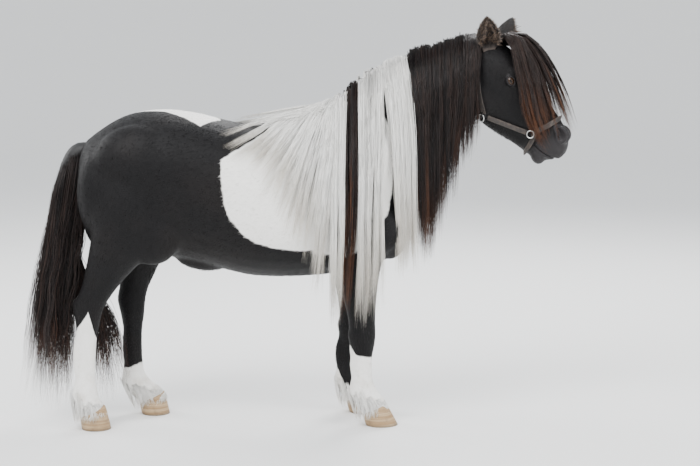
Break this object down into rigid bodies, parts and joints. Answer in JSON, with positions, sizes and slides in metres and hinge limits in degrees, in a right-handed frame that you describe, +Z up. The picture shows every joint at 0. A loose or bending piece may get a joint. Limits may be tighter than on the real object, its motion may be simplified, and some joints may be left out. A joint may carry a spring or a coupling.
{
  "type": "shetland pony",
  "caption": "Life-size still model of a black and white shetland pony standing in profile, with a long mane, forelock and tail and a plain halter.",
  "frame": {"origin": "centre of the bounding box at floor level", "axes": "+X from tail to head, +Z up, -Y to the pony's right side, the side the picture shows"},
  "size_m": [1.7554, 0.4518, 1.2907],
  "materials": {
    "coat": "short glossy black and white hair over skin",
    "white_hair": "long straight white hair",
    "dark_hair": "long black-brown hair",
    "brown_hair": "long brown hair with rust-coloured tips",
    "horn": "satin amber hoof horn",
    "eye": "wet dark brown eye",
    "strap": "satin dark brown leather",
    "ring_metal": "polished steel rings"
  },
  "bodies": {
    "root": {"torso": "coat", "neck": "coat", "head": "coat", "leg_fore_right": "coat", "leg_fore_left": "coat", "leg_hind_right": "coat", "leg_hind_left": "coat", "hoof_fore_right": "horn", "hoof_fore_left": "horn", "hoof_hind_right": "horn", "hoof_hind_left": "horn", "halter_ring_cheek_right": "ring_metal", "halter_ring_cheek_left": "ring_metal", "halter_ring_side_right": "ring_metal", "halter_ring_side_left": "ring_metal", "halter_noseband": "strap", "halter_side_right": "strap", "halter_side_left": "strap", "halter_crown": "strap", "halter_throat": "strap", "ear_right": "coat", "ear_left": "coat", "eye_right": "eye", "eye_left": "eye", "mane_dark": "dark_hair", "mane_far_dark": "dark_hair", "mane_white": "white_hair", "mane_far_white": "white_hair", "forelock": "brown_hair", "tail": "dark_hair", "tail_front": "dark_hair"}
  },
  "joints": []
}
